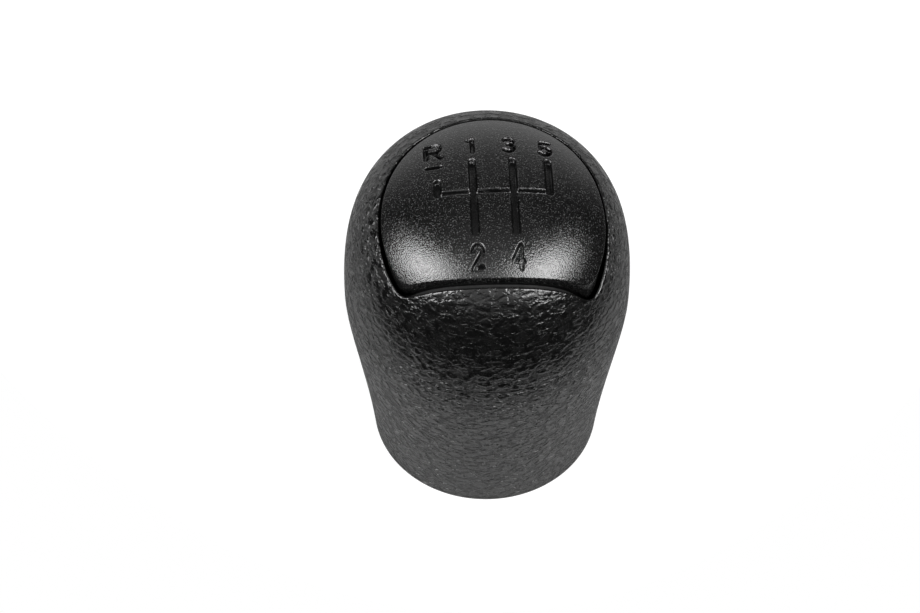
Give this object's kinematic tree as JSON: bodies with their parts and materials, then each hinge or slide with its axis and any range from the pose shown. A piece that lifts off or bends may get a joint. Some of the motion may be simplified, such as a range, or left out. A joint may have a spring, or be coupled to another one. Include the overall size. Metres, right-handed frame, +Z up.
{
  "type": "gear shift knob",
  "caption": "Rounded gear lever knob with a leather-grained grip, a domed cap engraved with the shift pattern, and a blind socket for the lever underneath.",
  "frame": {"origin": "on the lever's axis, in the plane of the flat ring that the knob stands on", "axes": "+Z up along the lever's axis, -Y towards the driver, +X to the driver's right"},
  "size_m": [0.052, 0.052, 0.07],
  "materials": {
    "grip": "leather-grained soft plastic, satin",
    "cap": "fine spark-eroded satin",
    "carrier": "plain moulded",
    "sleeve": "plain moulded nylon"
  },
  "bodies": {
    "root": {"grip_cover": "grip", "shift_pattern_cap": "cap", "core_carrier": "carrier", "lever_sleeve": "sleeve"}
  },
  "joints": []
}
